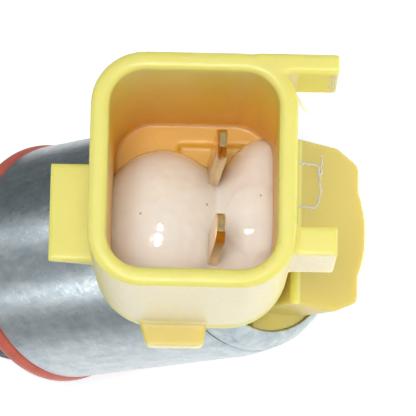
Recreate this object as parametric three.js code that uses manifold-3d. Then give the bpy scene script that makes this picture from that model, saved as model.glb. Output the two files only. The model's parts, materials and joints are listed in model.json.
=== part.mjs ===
// Geared DC motor: a sealed steel-can brushed motor with a moulded two-blade connector
// at its rear and a two-stage planetary gearbox at its front.
//
// Millimetres. The motor axis is X with the output shaft towards +X, the connector leans
// towards +Z, and the origin is the centre of the gearbox's front mounting face.
import * as THREE from 'three';
import { mergeVertices } from 'three/addons/utils/BufferGeometryUtils.js';
import Module from 'manifold-3d';

const wasm = await Module();
wasm.setup();

// Axial stations
const CAN_FRONT_X = -21.5; // outer face of the can's closed front
const CROSSING_X = -36.3; // where the connector's axis meets the motor axis
const CAN_REAR_X = CROSSING_X - 5.9;
const LIP_X = CROSSING_X - 8.42;
const BLOCK_REAR_X = CROSSING_X - 12.7;

// Motor
const CAN_RADIUS = 10;
const CAN_WALL = 0.7;
const LIP_RADIUS = 9.07;
const LIP_BORE = 8.28;
const MAGNET_INNER = 6.7;
const MAGNET_LENGTH = 12;
const MAGNET_HALF_ANGLE = THREE.MathUtils.degToRad(64);
const CORE_RADIUS = 6.2;
const CORE_LENGTH = 9;
const CORE_X = CROSSING_X + 6; // middle of the laminated core
const SHAFT_RADIUS = 0.75;
const BUSH_RADIUS = 2; // motor shaft bushes
const FRONT_BOSS_RADIUS = 2.9;
const ADAPTER_SCREW_CIRCLE = 5;
const COMMUTATOR_RADIUS = 2.4;
const COMMUTATOR_X = CROSSING_X - 2; // middle of the copper segments
const BRUSH_PLATE_X = CROSSING_X - 3.5; // front face of the brush plate

// Connector, in its own axes: U across towards the rear, V sideways, W out of the mouth
const CONNECTOR_TILT = THREE.MathUtils.degToRad(45);
const RIM_W = 28.8;
const BASE_W = 8.95;
const FLOOR_W = 10.55;
const SHROUD_HALF_U = 7.66;
const SHROUD_HALF_V = 8.8;
const SHROUD_WALL = 1.38;
const CORNER_RADIUS = 4;
const CAVITY_CORNER_RADIUS = 2.65;
const RIB_TIP_U = 10.7;
const KEY_TIP_U = -11.3;
const KEY_HALF_V = 3.9;
const KEY_FRONT_W = 11.2;
const LUG_TIP_V = -10.75;
const LUG_W = [10.9, 12.3];
const BLADE_TIP_W = 23.95;
const BLADE_TIP_U = 2.2;
const BLADE_HALF_PITCH = 3.235;
const BLADE_THICKNESS = 0.8;
const BLADE_WIDTH = 2.3;
const BLADE_LENGTH = 18.6;
const BLADE_LEAN = THREE.MathUtils.degToRad(3);
const BLOCK_HALF_Y = 6.71;
const BLOCK_LOW_Z = -6.46;
const BLOCK_TOP_Z = 1;
const CORE_PLUG_RADIUS = 7.35;
const PLUG_RADIUS = 7.95;
const PLUG_FRONT_X = CROSSING_X - 4.8;
const MOULD_GAP = 0.3;

// O-ring in front of the can, between the can's skirt and the adapter's shoulder
const SKIRT_LENGTH = 0.6; // how far the can's edge stands past its closed front
const ORING_SECTION = 0.75;
const ORING_OUTER = 10.3;
const ORING_X = CAN_FRONT_X + SKIRT_LENGTH + 0.15 + ORING_SECTION;
const ORING_SEAT_RADIUS = ORING_OUTER - 2 * ORING_SECTION - 0.1;

// Planetary gearbox
const MODULE = 0.35;
const PRESSURE_ANGLE = THREE.MathUtils.degToRad(25);
const ADDENDUM = 0.8 * MODULE;
const DEDENDUM = 1.05 * MODULE;
const FLANK_THINNING = 0.05; // taken off each tooth, along the pitch circle
const SUN_TEETH = 9;
const PLANET_TEETH = 12;
const RING_TEETH = 33;
const PLANETS = 3;
const PLANET_ORBIT = MODULE * (SUN_TEETH + PLANET_TEETH) / 2;
const PIN_RADIUS = 0.6;
const ADAPTER_RADIUS = 8.05;
const SHOULDER_RADIUS = 9.1;
const ADAPTER_LENGTH = 7.2;
const GEARBOX_RADIUS = 7.2;
const FLANGE_RADIUS = 10;
const FLANGE_THICKNESS = 2.4;
const MOUNT_HOLE_RADIUS = 0.8; // M2 thread core
const MOUNT_CIRCLE_RADIUS = 8.5;
const COVER_SCREW_CIRCLE = 8.05;
const OUTPUT_RADIUS = 2;
const OUTPUT_LENGTH = 12;
const OUTPUT_FLAT = 0.5;
const OUTPUT_FLAT_X = 2.4; // where the flat starts
const OUTPUT_BUSH_RADIUS = 3;
const PILOT_RADIUS = 4;
const PILOT_LENGTH = 1.5;

// Clearances between fitted pieces
const PRESS_GAP = 0.02;
const RUNNING_GAP = 0.06;

// Sides of the round shapes. Two fitted pieces use the same number.
const HOUSING_SIDES = 40;
const GEARBOX_SIDES = 36;
const SHAFT_SIDES = 20;
const SMALL_SIDES = 12;

const STEEL = { color: 0xb9bfc4, roughness: 0.35, metalness: 0.9 };
const PLATED = { color: 0xa9b4ba, roughness: 0.42, metalness: 0.85 };
const YELLOW_PLASTIC = { color: 0xe6d868, roughness: 0.45, metalness: 0 };
const RESIN = { color: 0xf0e4d8, roughness: 0.15, metalness: 0 };
const RED_SILICONE = { color: 0xcb5a45, roughness: 0.5, metalness: 0 };
const BLACK_PLASTIC = { color: 0x1d1e1f, roughness: 0.55, metalness: 0 };
const BROWN_PLASTIC = { color: 0x6b3f22, roughness: 0.6, metalness: 0 };
const BRASS = { color: 0xc9a046, roughness: 0.3, metalness: 1 };
const BRONZE = { color: 0x9c7748, roughness: 0.55, metalness: 0.8 };
const COPPER = { color: 0xb5673a, roughness: 0.3, metalness: 1 };
const CARBON = { color: 0x2a2a2c, roughness: 0.8, metalness: 0.1 };
const FERRITE = { color: 0x45464a, roughness: 0.8, metalness: 0.1 };
const GEAR_STEEL = { color: 0x8e9296, roughness: 0.4, metalness: 0.95 };
const DARK_STEEL = { color: 0x3b3d40, roughness: 0.4, metalness: 0.9 };

// The solids: closed geometry in, closed geometry out
function solidOf(geometry) {
  const bare = geometry.clone();
  bare.deleteAttribute('normal');
  bare.deleteAttribute('uv');
  const merged = mergeVertices(bare, 1e-5);
  const vertProperties = new Float32Array(merged.attributes.position.array);
  const triVerts = [];
  const index = merged.index.array;
  for (let i = 0; i < index.length; i += 3) {
    const [a, b, c] = [index[i], index[i + 1], index[i + 2]];
    if (a !== b && b !== c && c !== a) {
      triVerts.push(a, b, c);
    }
  }
  const facingOut = signedVolume(vertProperties, triVerts) > 0;
  const ordered = facingOut ? triVerts : triVerts.reverse();
  return new wasm.Manifold(new wasm.Mesh({
    numProp: 3,
    vertProperties,
    triVerts: new Uint32Array(ordered),
  }));
}

function signedVolume(positions, triangles) {
  const corner = (i) => new THREE.Vector3().fromArray(positions, 3 * triangles[i]);
  let sum = 0;
  for (let i = 0; i < triangles.length; i += 3) {
    sum += corner(i).dot(corner(i + 1).cross(corner(i + 2)));
  }
  return sum / 6;
}

function geometryOf(solid) {
  const mesh = solid.getMesh();
  const geometry = new THREE.BufferGeometry();
  geometry.setAttribute('position', new THREE.BufferAttribute(new Float32Array(mesh.vertProperties), 3));
  geometry.setIndex(new THREE.BufferAttribute(new Uint32Array(mesh.triVerts), 1));
  geometry.computeVertexNormals();
  return geometry;
}

// Axis changes: a lathe turns about Y, an extrusion runs along Z, and both are laid along X
const LATHE_TO_X = new THREE.Matrix4().makeBasis(
  new THREE.Vector3(0, 0, 1),
  new THREE.Vector3(1, 0, 0),
  new THREE.Vector3(0, 1, 0),
);
const EXTRUDE_TO_X = new THREE.Matrix4().makeBasis(
  new THREE.Vector3(0, 1, 0),
  new THREE.Vector3(0, 0, 1),
  new THREE.Vector3(1, 0, 0),
);

// A turned piece about X. The profile is a list of [x, radius] that closes on itself.
function turned(profile, segments = HOUSING_SIDES) {
  const closed = [...profile, profile[0]];
  const points = closed.map(([x, radius]) => new THREE.Vector2(radius, x));
  return solidOf(new THREE.LatheGeometry(points, segments).applyMatrix4(LATHE_TO_X));
}

function rod(x0, x1, radius, segments = SHAFT_SIDES) {
  return turned([[x0, 0], [x0, radius], [x1, radius], [x1, 0]], segments);
}

function tube(x0, x1, outer, inner, segments = SHAFT_SIDES) {
  return turned([[x0, inner], [x0, outer], [x1, outer], [x1, inner]], segments);
}

function box(x0, x1, y0, y1, z0, z1) {
  const geometry = new THREE.BoxGeometry(x1 - x0, y1 - y0, z1 - z0);
  return solidOf(geometry.translate((x0 + x1) / 2, (y0 + y1) / 2, (z0 + z1) / 2));
}

function extruded(shape, depth, curveSegments = 8) {
  return new THREE.ExtrudeGeometry(shape, { depth, bevelEnabled: false, curveSegments });
}

// An outline in the YZ plane, carried from x0 to x1
function alongX(shape, x0, x1, curveSegments = 8) {
  const geometry = extruded(shape, x1 - x0, curveSegments).applyMatrix4(EXTRUDE_TO_X);
  return solidOf(geometry.translate(x0, 0, 0));
}

function shapeOf(points) {
  return new THREE.Shape(points.map(([a, b]) => new THREE.Vector2(a, b)));
}

function polar(radius, angle) {
  return [radius * Math.cos(angle), radius * Math.sin(angle)];
}

function roundedRect(halfU, halfV, radius) {
  const shape = new THREE.Shape();
  const [u, v] = [halfU - radius, halfV - radius];
  shape.absarc(u, v, radius, 0, Math.PI / 2);
  shape.absarc(-u, v, radius, Math.PI / 2, Math.PI);
  shape.absarc(-u, -v, radius, Math.PI, 1.5 * Math.PI);
  shape.absarc(u, -v, radius, 1.5 * Math.PI, 2 * Math.PI);
  return shape;
}

function arcShape(inner, outer, halfAngle, middle) {
  const shape = new THREE.Shape();
  shape.absarc(0, 0, outer, middle - halfAngle, middle + halfAngle, false);
  shape.absarc(0, 0, inner, middle + halfAngle, middle - halfAngle, true);
  return shape;
}

const model = new THREE.Group();

function add(name, solid, finish, parent = model) {
  const mesh = new THREE.Mesh(geometryOf(solid), new THREE.MeshStandardMaterial(finish));
  mesh.name = name;
  parent.add(mesh);
  return mesh;
}

// The connector's axes: U, V and W in the part's frame
const connectorFrame = new THREE.Group();
const cosTilt = Math.cos(CONNECTOR_TILT);
const sinTilt = Math.sin(CONNECTOR_TILT);
const CONNECTOR_BASIS = new THREE.Matrix4().makeBasis(
  new THREE.Vector3(-sinTilt, 0, -cosTilt),
  new THREE.Vector3(0, -1, 0),
  new THREE.Vector3(-cosTilt, 0, sinTilt),
).setPosition(CROSSING_X, 0, 0);
connectorFrame.applyMatrix4(CONNECTOR_BASIS);
model.add(connectorFrame);

function inPartFrame(solid) {
  return solidOf(geometryOf(solid).applyMatrix4(CONNECTOR_BASIS));
}


// An outline in the UV plane, carried from w0 to w1
function alongW(shape, w0, w1, curveSegments = 6) {
  return solidOf(extruded(shape, w1 - w0, curveSegments).translate(0, 0, w0));
}

// An outline in the UW plane, carried from v0 to v1
const EXTRUDE_TO_V = new THREE.Matrix4().makeBasis(
  new THREE.Vector3(1, 0, 0),
  new THREE.Vector3(0, 0, 1),
  new THREE.Vector3(0, 1, 0),
);

function alongV(points, v0, v1) {
  const geometry = extruded(shapeOf(points), v1 - v0).applyMatrix4(EXTRUDE_TO_V);
  return solidOf(geometry.translate(0, v0, 0));
}

function moved(solid, x, y, z) {
  return solidOf(geometryOf(solid).translate(x, y, z));
}

// A solid turned about X
function aroundX(solid, angle) {
  return solidOf(geometryOf(solid).rotateX(angle));
}

// ---- Connector -------------------------------------------------------------------

function blade(margin) {
  const half = BLADE_WIDTH / 2 + margin;
  const shoulder = 0.6;
  const outline = shapeOf([
    [-half, -BLADE_LENGTH - margin],
    [half, -BLADE_LENGTH - margin],
    [half, -0.8],
    [half - shoulder, margin],
    [shoulder - half, margin],
    [-half, -0.8],
  ]);
  return alongX(outline, -BLADE_THICKNESS / 2 - margin, BLADE_THICKNESS / 2 + margin);
}

function bladePlace(side) {
  const place = new THREE.Matrix4().makeRotationY(BLADE_LEAN);
  return place.setPosition(BLADE_TIP_U, side * BLADE_HALF_PITCH, BLADE_TIP_W);
}

// The slot that a blade passes through, in the connector's axes
function bladeSlot(side) {
  return solidOf(geometryOf(blade(MOULD_GAP)).applyMatrix4(bladePlace(side)));
}

function shroud() {
  const outer = alongW(roundedRect(SHROUD_HALF_U, SHROUD_HALF_V, CORNER_RADIUS), BASE_W, RIM_W);
  const bury = SHROUD_HALF_U - 0.4;
  const upperRib = box(4.5, RIB_TIP_U, 7.36, SHROUD_HALF_V, RIM_W - 6.5, RIM_W);
  const lowerRib = box(bury, RIB_TIP_U, -6.25, -4.05, RIM_W - 7.8, RIM_W - 0.8);
  const key = alongV([
    [-bury, KEY_FRONT_W],
    [KEY_TIP_U, KEY_FRONT_W],
    [KEY_TIP_U, KEY_FRONT_W - 0.7],
    [-bury, BASE_W],
  ], -KEY_HALF_V, KEY_HALF_V);
  const lugOutline = shapeOf([
    [-4.1, -SHROUD_HALF_V + 0.4],
    [-3.4, LUG_TIP_V],
    [1, LUG_TIP_V],
    [1.4, -SHROUD_HALF_V + 0.4],
  ]);
  const lug = alongW(lugOutline, ...LUG_W);
  const oppositeLug = solidOf(geometryOf(lug).scale(1, -1, 1));
  return outer.add(upperRib).add(lowerRib).add(key).add(lug).add(oppositeLug);
}

function cavityOutline(margin, radius) {
  return roundedRect(
    SHROUD_HALF_U - SHROUD_WALL - margin,
    SHROUD_HALF_V - SHROUD_WALL - margin,
    radius,
  );
}

// The rear block: a chamfered slab with a round core that runs on into the can as a plug
function rearBlock() {
  const chamferY = 1.06;
  const chamferZ = 2.6;
  const outline = shapeOf([
    [BLOCK_HALF_Y, BLOCK_TOP_Z],
    [-BLOCK_HALF_Y, BLOCK_TOP_Z],
    [-BLOCK_HALF_Y, BLOCK_LOW_Z + chamferZ],
    [chamferY - BLOCK_HALF_Y, BLOCK_LOW_Z],
    [BLOCK_HALF_Y - chamferY, BLOCK_LOW_Z],
    [BLOCK_HALF_Y, BLOCK_LOW_Z + chamferZ],
  ]);
  const plugRearX = LIP_X + 0.45;
  const slab = alongX(outline, BLOCK_REAR_X, LIP_X - MOULD_GAP);
  const buried = alongX(outline, BLOCK_REAR_X + 1, plugRearX + 0.5)
    .intersect(rod(BLOCK_REAR_X, PLUG_FRONT_X, PLUG_RADIUS, HOUSING_SIDES));
  const withinBlock = box(
    BLOCK_REAR_X - 1, PLUG_FRONT_X + 1, -BLOCK_HALF_Y, BLOCK_HALF_Y, -CORE_PLUG_RADIUS - 1, BLOCK_TOP_Z,
  );
  const core = rod(BLOCK_REAR_X, plugRearX + 0.5, CORE_PLUG_RADIUS, HOUSING_SIDES).intersect(withinBlock);
  const plug = rod(plugRearX, PLUG_FRONT_X, PLUG_RADIUS, HOUSING_SIDES);
  return slab.add(buried).add(core).add(plug);
}

function addConnector() {
  const cavity = alongW(cavityOutline(0, CAVITY_CORNER_RADIUS), FLOOR_W, RIM_W + 1);
  const slots = bladeSlot(1).add(bladeSlot(-1));
  const bushPocket = rod(CROSSING_X - 7.2, PLUG_FRONT_X + 1, BUSH_RADIUS + PRESS_GAP);
  const body = inPartFrame(shroud()).add(rearBlock())
    .subtract(inPartFrame(cavity))
    .subtract(inPartFrame(slots))
    .subtract(bushPocket);
  add('connector_body', body, YELLOW_PLASTIC);

  for (const [name, side] of [['blade_left', 1], ['blade_right', -1]]) {
    const mesh = add(name, blade(0), BRASS, connectorFrame);
    mesh.position.set(BLADE_TIP_U, side * BLADE_HALF_PITCH, BLADE_TIP_W);
    mesh.rotation.y = BLADE_LEAN;
  }
  add('potting', potting().subtract(slots), RESIN, connectorFrame);
}

// Potting compound: a shallow pool with a large and a small swell
function potting() {
  const floor = FLOOR_W + MOULD_GAP;
  const swell = (u, v, w, radiusU, radiusV, radiusW) => {
    const ball = new THREE.SphereGeometry(1, 18, 12);
    return solidOf(ball.scale(radiusU, radiusV, radiusW).translate(u, v, w));
  };
  const pool = box(-9, 9, -9, 2.6, floor, floor + 2);
  const within = alongW(cavityOutline(MOULD_GAP, CAVITY_CORNER_RADIUS - 0.25), floor, floor + 8);
  return pool
    .add(swell(-1.9, -0.7, floor, 4.4, 5, 4.8))
    .add(swell(3.9, -0.2, floor, 2.8, 5, 4.4))
    .intersect(within);
}

// The space the connector's base takes out of the round parts below it
function connectorNotch() {
  const reach = 14;
  return inPartFrame(box(-reach, reach, -9.1, 9.1, BASE_W - MOULD_GAP, RIM_W));
}

// ---- Motor -----------------------------------------------------------------------

function addMotorShell() {
  const front = CAN_FRONT_X;
  const inner = CAN_RADIUS - CAN_WALL;
  const bore = BUSH_RADIUS + PRESS_GAP;
  const skirtBore = ADAPTER_RADIUS + RUNNING_GAP;
  let can = turned([
    [front + 1, bore],
    [front + 1, FRONT_BOSS_RADIUS],
    [front, FRONT_BOSS_RADIUS],
    [front, skirtBore],
    [front + SKIRT_LENGTH, skirtBore],
    [front + SKIRT_LENGTH, CAN_RADIUS - 0.3],
    [front + SKIRT_LENGTH - 0.3, CAN_RADIUS],
    [CROSSING_X - 4.2, CAN_RADIUS],
    [CAN_REAR_X, CAN_RADIUS - 0.2],
    [CAN_REAR_X, inner],
    [front - 0.8, inner],
    [front - 0.8, bore],
  ]);
  for (const side of [1, -1]) {
    const screwHole = rod(front - 2, front + 1, 0.85, SMALL_SIDES);
    can = can.subtract(moved(screwHole, 0, side * ADAPTER_SCREW_CIRCLE, 0));
  }
  add('motor_can', can.subtract(connectorNotch()), PLATED);

  const bellFront = CROSSING_X - 4.6;
  const bellBore = LIP_BORE - RUNNING_GAP;
  const bellFit = inner - RUNNING_GAP;
  const bell = turned([
    [bellFront, bellBore],
    [bellFront, bellFit],
    [CAN_REAR_X - 0.05, bellFit],
    [CAN_REAR_X - 0.05, CAN_RADIUS - 0.28],
    [CAN_REAR_X - 1, CAN_RADIUS - 0.34],
    [CAN_REAR_X - 2.1, LIP_RADIUS],
    [LIP_X, LIP_BORE + 0.2],
    [LIP_X, bellBore],
  ]);
  add('end_bell', bell.subtract(connectorNotch()), PLATED);

  const oringPoints = 10;
  const oringProfile = [];
  for (let i = 0; i < oringPoints; i += 1) {
    const [dx, dr] = polar(ORING_SECTION, 2 * Math.PI * i / oringPoints);
    oringProfile.push([ORING_X + dx, ORING_OUTER - ORING_SECTION + dr]);
  }
  add('o_ring', turned(oringProfile, GEARBOX_SIDES), RED_SILICONE);
}

function addField() {
  const rear = CROSSING_X + 0.3;
  const outer = CAN_RADIUS - CAN_WALL - 0.1;
  for (const [name, middle] of [['magnet_left', Math.PI], ['magnet_right', 0]]) {
    const outline = arcShape(MAGNET_INNER, outer, MAGNET_HALF_ANGLE, middle);
    add(name, alongX(outline, rear, rear + MAGNET_LENGTH, 14), FERRITE);
  }
  const clipHalfAngle = THREE.MathUtils.degToRad(22);
  const legThickness = 0.35;
  const [clipRear, clipFront] = [rear + 1, rear + MAGNET_LENGTH - 1];
  const clipArc = arcShape(outer - 0.4, outer, clipHalfAngle, -Math.PI / 2);
  let clip = alongX(clipArc, clipRear, clipFront);
  for (const side of [1, -1]) {
    const leg = box(clipRear, clipFront, -legThickness / 2, legThickness / 2, -outer + 0.1, -7.2);
    clip = clip.add(aroundX(leg, side * (clipHalfAngle - 0.02)));
  }
  add('magnet_clip', clip, STEEL);
}

function addBrushGear() {
  const plateRear = BRUSH_PLATE_X - 1;
  let plate = tube(plateRear, BRUSH_PLATE_X, 9.1, 3, HOUSING_SIDES).subtract(connectorNotch());
  for (const side of [1, -1]) {
    const slot = [side * BLADE_HALF_PITCH - 1.5, side * BLADE_HALF_PITCH + 1.5];
    plate = plate.subtract(box(plateRear - 1, BRUSH_PLATE_X + 1, ...slot, 1.6, 4.6));
  }
  add('brush_plate', plate, BROWN_PLASTIC);

  const reach = COMMUTATOR_RADIUS + RUNNING_GAP;
  const width = 0.8;
  const armY = [4.64, 4.88];
  const armZ = [-4.2, -2.4];
  const footRear = BRUSH_PLATE_X + PRESS_GAP;
  for (const [name, side] of [['left', -1], ['right', 1]]) {
    const mirrorY = (y0, y1) => (side > 0 ? [y0, y1] : [-y1, -y0]);
    const carbon = box(
      COMMUTATOR_X - width, COMMUTATOR_X + width, ...mirrorY(reach, 4.6), -width, width,
    );
    add(`brush_${name}`, carbon, CARBON);
    const leaf = box(COMMUTATOR_X - 0.9, COMMUTATOR_X + 0.9, ...mirrorY(...armY), armZ[0], 2.2);
    const knee = box(footRear, COMMUTATOR_X, ...mirrorY(...armY), ...armZ);
    const foot = box(footRear, footRear + 0.25, ...mirrorY(armY[0], 6.4), ...armZ);
    add(`brush_arm_${name}`, leaf.add(knee).add(foot), BRASS);
  }
  const bushInner = SHAFT_RADIUS + RUNNING_GAP;
  add('front_bush', tube(CAN_FRONT_X - 1.6, CAN_FRONT_X + 1, BUSH_RADIUS - PRESS_GAP, bushInner), BRONZE);
  add('rear_bush', tube(CROSSING_X - 6.9, PLUG_FRONT_X, BUSH_RADIUS, bushInner), BRONZE);
}

// One third of a three-pole lamination, as points around the motor axis
function poleOutline(angle) {
  const hub = 1.9;
  const neck = 1.1;
  const shoeAngle = THREE.MathUtils.degToRad(48);
  const tipInner = polar(5.2, shoeAngle - 0.04);
  const oneSide = [
    [Math.sqrt(hub * hub - neck * neck), neck],
    [4.6, neck],
    tipInner,
  ];
  const arcSteps = 8;
  const points = oneSide.map(([a, b]) => [a, -b]);
  for (let i = 0; i <= arcSteps; i += 1) {
    points.push(polar(CORE_RADIUS, shoeAngle * (2 * i / arcSteps - 1)));
  }
  points.push(...oneSide.reverse());
  const [c, s] = [Math.cos(angle), Math.sin(angle)];
  return points.map(([a, b]) => [a * c - b * s, a * s + b * c]);
}

// A winding: a flat coil around one pole's neck
function coil() {
  const outer = new THREE.Shape();
  const [halfT, halfX, corner] = [2.6, CORE_LENGTH / 2 + 1.5, 0.8];
  outer.copy(roundedRect(halfT, halfX, corner));
  const hole = [[1.2, 4.6], [-1.2, 4.6], [-1.2, -4.6], [1.2, -4.6]];
  outer.holes.push(new THREE.Path(hole.map(([a, b]) => new THREE.Vector2(a, b))));
  const geometry = extruded(outer, 1.6, 3);
  const toPole = new THREE.Matrix4().makeBasis(
    new THREE.Vector3(0, 0, 1),
    new THREE.Vector3(1, 0, 0),
    new THREE.Vector3(0, 1, 0),
  );
  return solidOf(geometry.applyMatrix4(toPole).translate(CORE_X, 2.15, 0));
}

function addArmature() {
  const shaftEnd = CAN_FRONT_X + 6.6;
  add('motor_shaft', rod(CROSSING_X - 6.8, shaftEnd, SHAFT_RADIUS), GEAR_STEEL);

  const fitted = SHAFT_RADIUS + PRESS_GAP;
  const poles = [0, 1, 2].map((i) => Math.PI / 2 + i * 2 * Math.PI / 3);
  const lamination = shapeOf(poles.flatMap(poleOutline));
  const core = alongX(lamination, CORE_X - CORE_LENGTH / 2, CORE_X + CORE_LENGTH / 2);
  const shaftHole = rod(CORE_X - CORE_LENGTH, CORE_X + CORE_LENGTH, fitted);
  add('armature_core', core.subtract(shaftHole), GEAR_STEEL);
  poles.forEach((angle, i) => {
    const mesh = add(`coil_${i + 1}`, coil(), COPPER);
    mesh.rotation.x = angle;
  });

  add('commutator_base', tube(COMMUTATOR_X - 1.3, COMMUTATOR_X + 1.6, 1.9, fitted), BROWN_PLASTIC);
  poles.forEach((angle, i) => {
    const outline = arcShape(1.93, COMMUTATOR_RADIUS, THREE.MathUtils.degToRad(56), angle);
    const segment = alongX(outline, COMMUTATOR_X - 1.1, COMMUTATOR_X + 1.1, 7);
    add(`commutator_segment_${i + 1}`, segment, COPPER);
  });
  add('shaft_washer_front', tube(CAN_FRONT_X - 2.3, CAN_FRONT_X - 1.7, 1.6, fitted), BROWN_PLASTIC);
  add('shaft_washer_rear', tube(CROSSING_X - 4.5, CROSSING_X - 3.9, 1.5, fitted), BROWN_PLASTIC);

  const pinion = alongX(gearOutline(SUN_TEETH, ADDENDUM, DEDENDUM, FLANK_THINNING),
    CAN_FRONT_X + 2.5, CAN_FRONT_X + 6.7);
  add('sun_pinion_1', pinion.subtract(rod(CAN_FRONT_X, shaftEnd + 0.4, fitted)), BRASS);
}

// ---- Gears -----------------------------------------------------------------------

function involute(radius, baseRadius) {
  const pressure = Math.acos(Math.min(1, baseRadius / radius));
  return Math.tan(pressure) - pressure;
}

// An involute gear outline with a tooth centred on angle zero
function gearOutline(teeth, addendum, dedendum, thinning) {
  const pitchRadius = MODULE * teeth / 2;
  const baseRadius = pitchRadius * Math.cos(PRESSURE_ANGLE);
  const tip = pitchRadius + addendum;
  const root = pitchRadius - dedendum;
  const halfTooth = Math.PI / (2 * teeth) - thinning / (2 * pitchRadius)
    + involute(pitchRadius, baseRadius);
  const radii = [root, pitchRadius, tip];
  const points = [];
  for (let tooth = 0; tooth < teeth; tooth += 1) {
    const centre = 2 * Math.PI * tooth / teeth;
    const spread = (radius) => halfTooth - involute(Math.max(radius, baseRadius), baseRadius);
    for (const radius of radii) {
      points.push(polar(radius, centre - spread(radius)));
    }
    for (const radius of [...radii].reverse()) {
      points.push(polar(radius, centre + spread(radius)));
    }
  }
  return shapeOf(points);
}

function addPlanet(name, x0, x1, orbitAngle) {
  const gear = alongX(gearOutline(PLANET_TEETH, ADDENDUM, DEDENDUM, FLANK_THINNING), x0, x1);
  const bore = rod(x0 - 1, x1 + 1, PIN_RADIUS + RUNNING_GAP, SMALL_SIDES);
  const mesh = add(name, gear.subtract(bore), GEAR_STEEL);
  const [y, z] = polar(PLANET_ORBIT, orbitAngle);
  mesh.position.set(0, y, z);
  // The turn at which the planet's teeth sit between those of the sun and the ring
  mesh.rotation.x = orbitAngle * (1 + SUN_TEETH / PLANET_TEETH) - Math.PI / PLANET_TEETH;
}

// A carrier disc with its planet pins. boreRadius is the fit for what sits in its middle.
function addCarrier(stage, plateRear, plateFront, pinRear, boreRadius) {
  let plate = tube(plateRear, plateFront, 5.3, boreRadius);
  for (let i = 0; i < PLANETS; i += 1) {
    const [y, z] = polar(PLANET_ORBIT, 2 * Math.PI * i / PLANETS);
    const hole = rod(plateRear - 1, plateFront + 1, PIN_RADIUS + PRESS_GAP, SMALL_SIDES);
    plate = plate.subtract(moved(hole, 0, y, z));
    const pinSolid = rod(pinRear, plateFront, PIN_RADIUS, SMALL_SIDES);
    const pin = add(`carrier_${stage}_pin_${i + 1}`, pinSolid, GEAR_STEEL);
    pin.position.set(0, y, z);
  }
  add(`carrier_${stage}_plate`, plate, GEAR_STEEL);
}

function addStages() {
  const [plate1Rear, plate1Front] = [CAN_FRONT_X + 6.9, CAN_FRONT_X + 8.3];
  const [plate2Rear, plate2Front] = [CAN_FRONT_X + 13.7, CAN_FRONT_X + 15.5];
  const stubRadius = 1.1;
  addCarrier(1, plate1Rear, plate1Front, CAN_FRONT_X + 2.6, stubRadius + PRESS_GAP);
  addCarrier(2, plate2Rear, plate2Front, CAN_FRONT_X + 8.9, OUTPUT_RADIUS + PRESS_GAP);

  const outline = gearOutline(SUN_TEETH, ADDENDUM, DEDENDUM, FLANK_THINNING);
  const teeth = alongX(outline, plate1Front + PRESS_GAP, plate2Rear - 0.4);
  add('sun_pinion_2', teeth.add(rod(plate1Rear, plate1Front + 1, stubRadius)), GEAR_STEEL);

  for (let i = 0; i < PLANETS; i += 1) {
    const orbitAngle = 2 * Math.PI * i / PLANETS;
    addPlanet(`planet_1_${i + 1}`, CAN_FRONT_X + 2.8, CAN_FRONT_X + 6.6, orbitAngle);
    addPlanet(`planet_2_${i + 1}`, CAN_FRONT_X + 8.9, CAN_FRONT_X + 13.3, orbitAngle);
  }

  const shaft = rod(plate2Rear, OUTPUT_LENGTH, OUTPUT_RADIUS);
  const flatZ = OUTPUT_RADIUS - OUTPUT_FLAT;
  const [flatEnd, flatTop] = [OUTPUT_LENGTH + 1, OUTPUT_RADIUS + 1];
  const flat = box(OUTPUT_FLAT_X, flatEnd, -OUTPUT_RADIUS, OUTPUT_RADIUS, flatZ, flatTop);
  add('output_shaft', shaft.subtract(flat), STEEL);
  const washer = tube(plate2Front + 0.05, plate2Front + 0.5, 4.2, OUTPUT_RADIUS + PRESS_GAP);
  add('thrust_washer', washer, BRONZE);
  const ring = arcShape(OUTPUT_RADIUS + PRESS_GAP + 0.03, 2.9, THREE.MathUtils.degToRad(150), Math.PI);
  add('retaining_ring', alongX(ring, PILOT_LENGTH + 0.1, PILOT_LENGTH + 0.5, 10), DARK_STEEL);
}

// ---- Gearbox housing -------------------------------------------------------------

const EAR_ANGLES = [0, 1, 2].map((i) => Math.PI / 2 + i * 2 * Math.PI / 3);
const MOUNT_ANGLES = EAR_ANGLES.map((angle) => angle + Math.PI / 3);

function rodAt(x0, x1, radius, circle, angle) {
  const [y, z] = polar(circle, angle);
  return moved(rod(x0, x1, radius, SMALL_SIDES), 0, y, z);
}

// A pan-head screw along X with its head at x0..x1 and a cross recess in the +X face
function screw(threadEnd, headRear, headFront, threadRadius, headRadius, coneHeight) {
  const body = turned([
    [threadEnd, 0],
    [threadEnd, threadRadius],
    [headRear - coneHeight, threadRadius],
    [headRear, headRadius],
    [headFront, headRadius],
    [headFront, 0],
  ], SMALL_SIDES);
  const [long, narrow, deep] = [headRadius * 0.6, 0.16, 0.4];
  const across = box(headFront - deep, headFront + 1, -long, long, -narrow, narrow);
  const upright = box(headFront - deep, headFront + 1, -narrow, narrow, -long, long);
  return body.subtract(across).subtract(upright);
}

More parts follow.
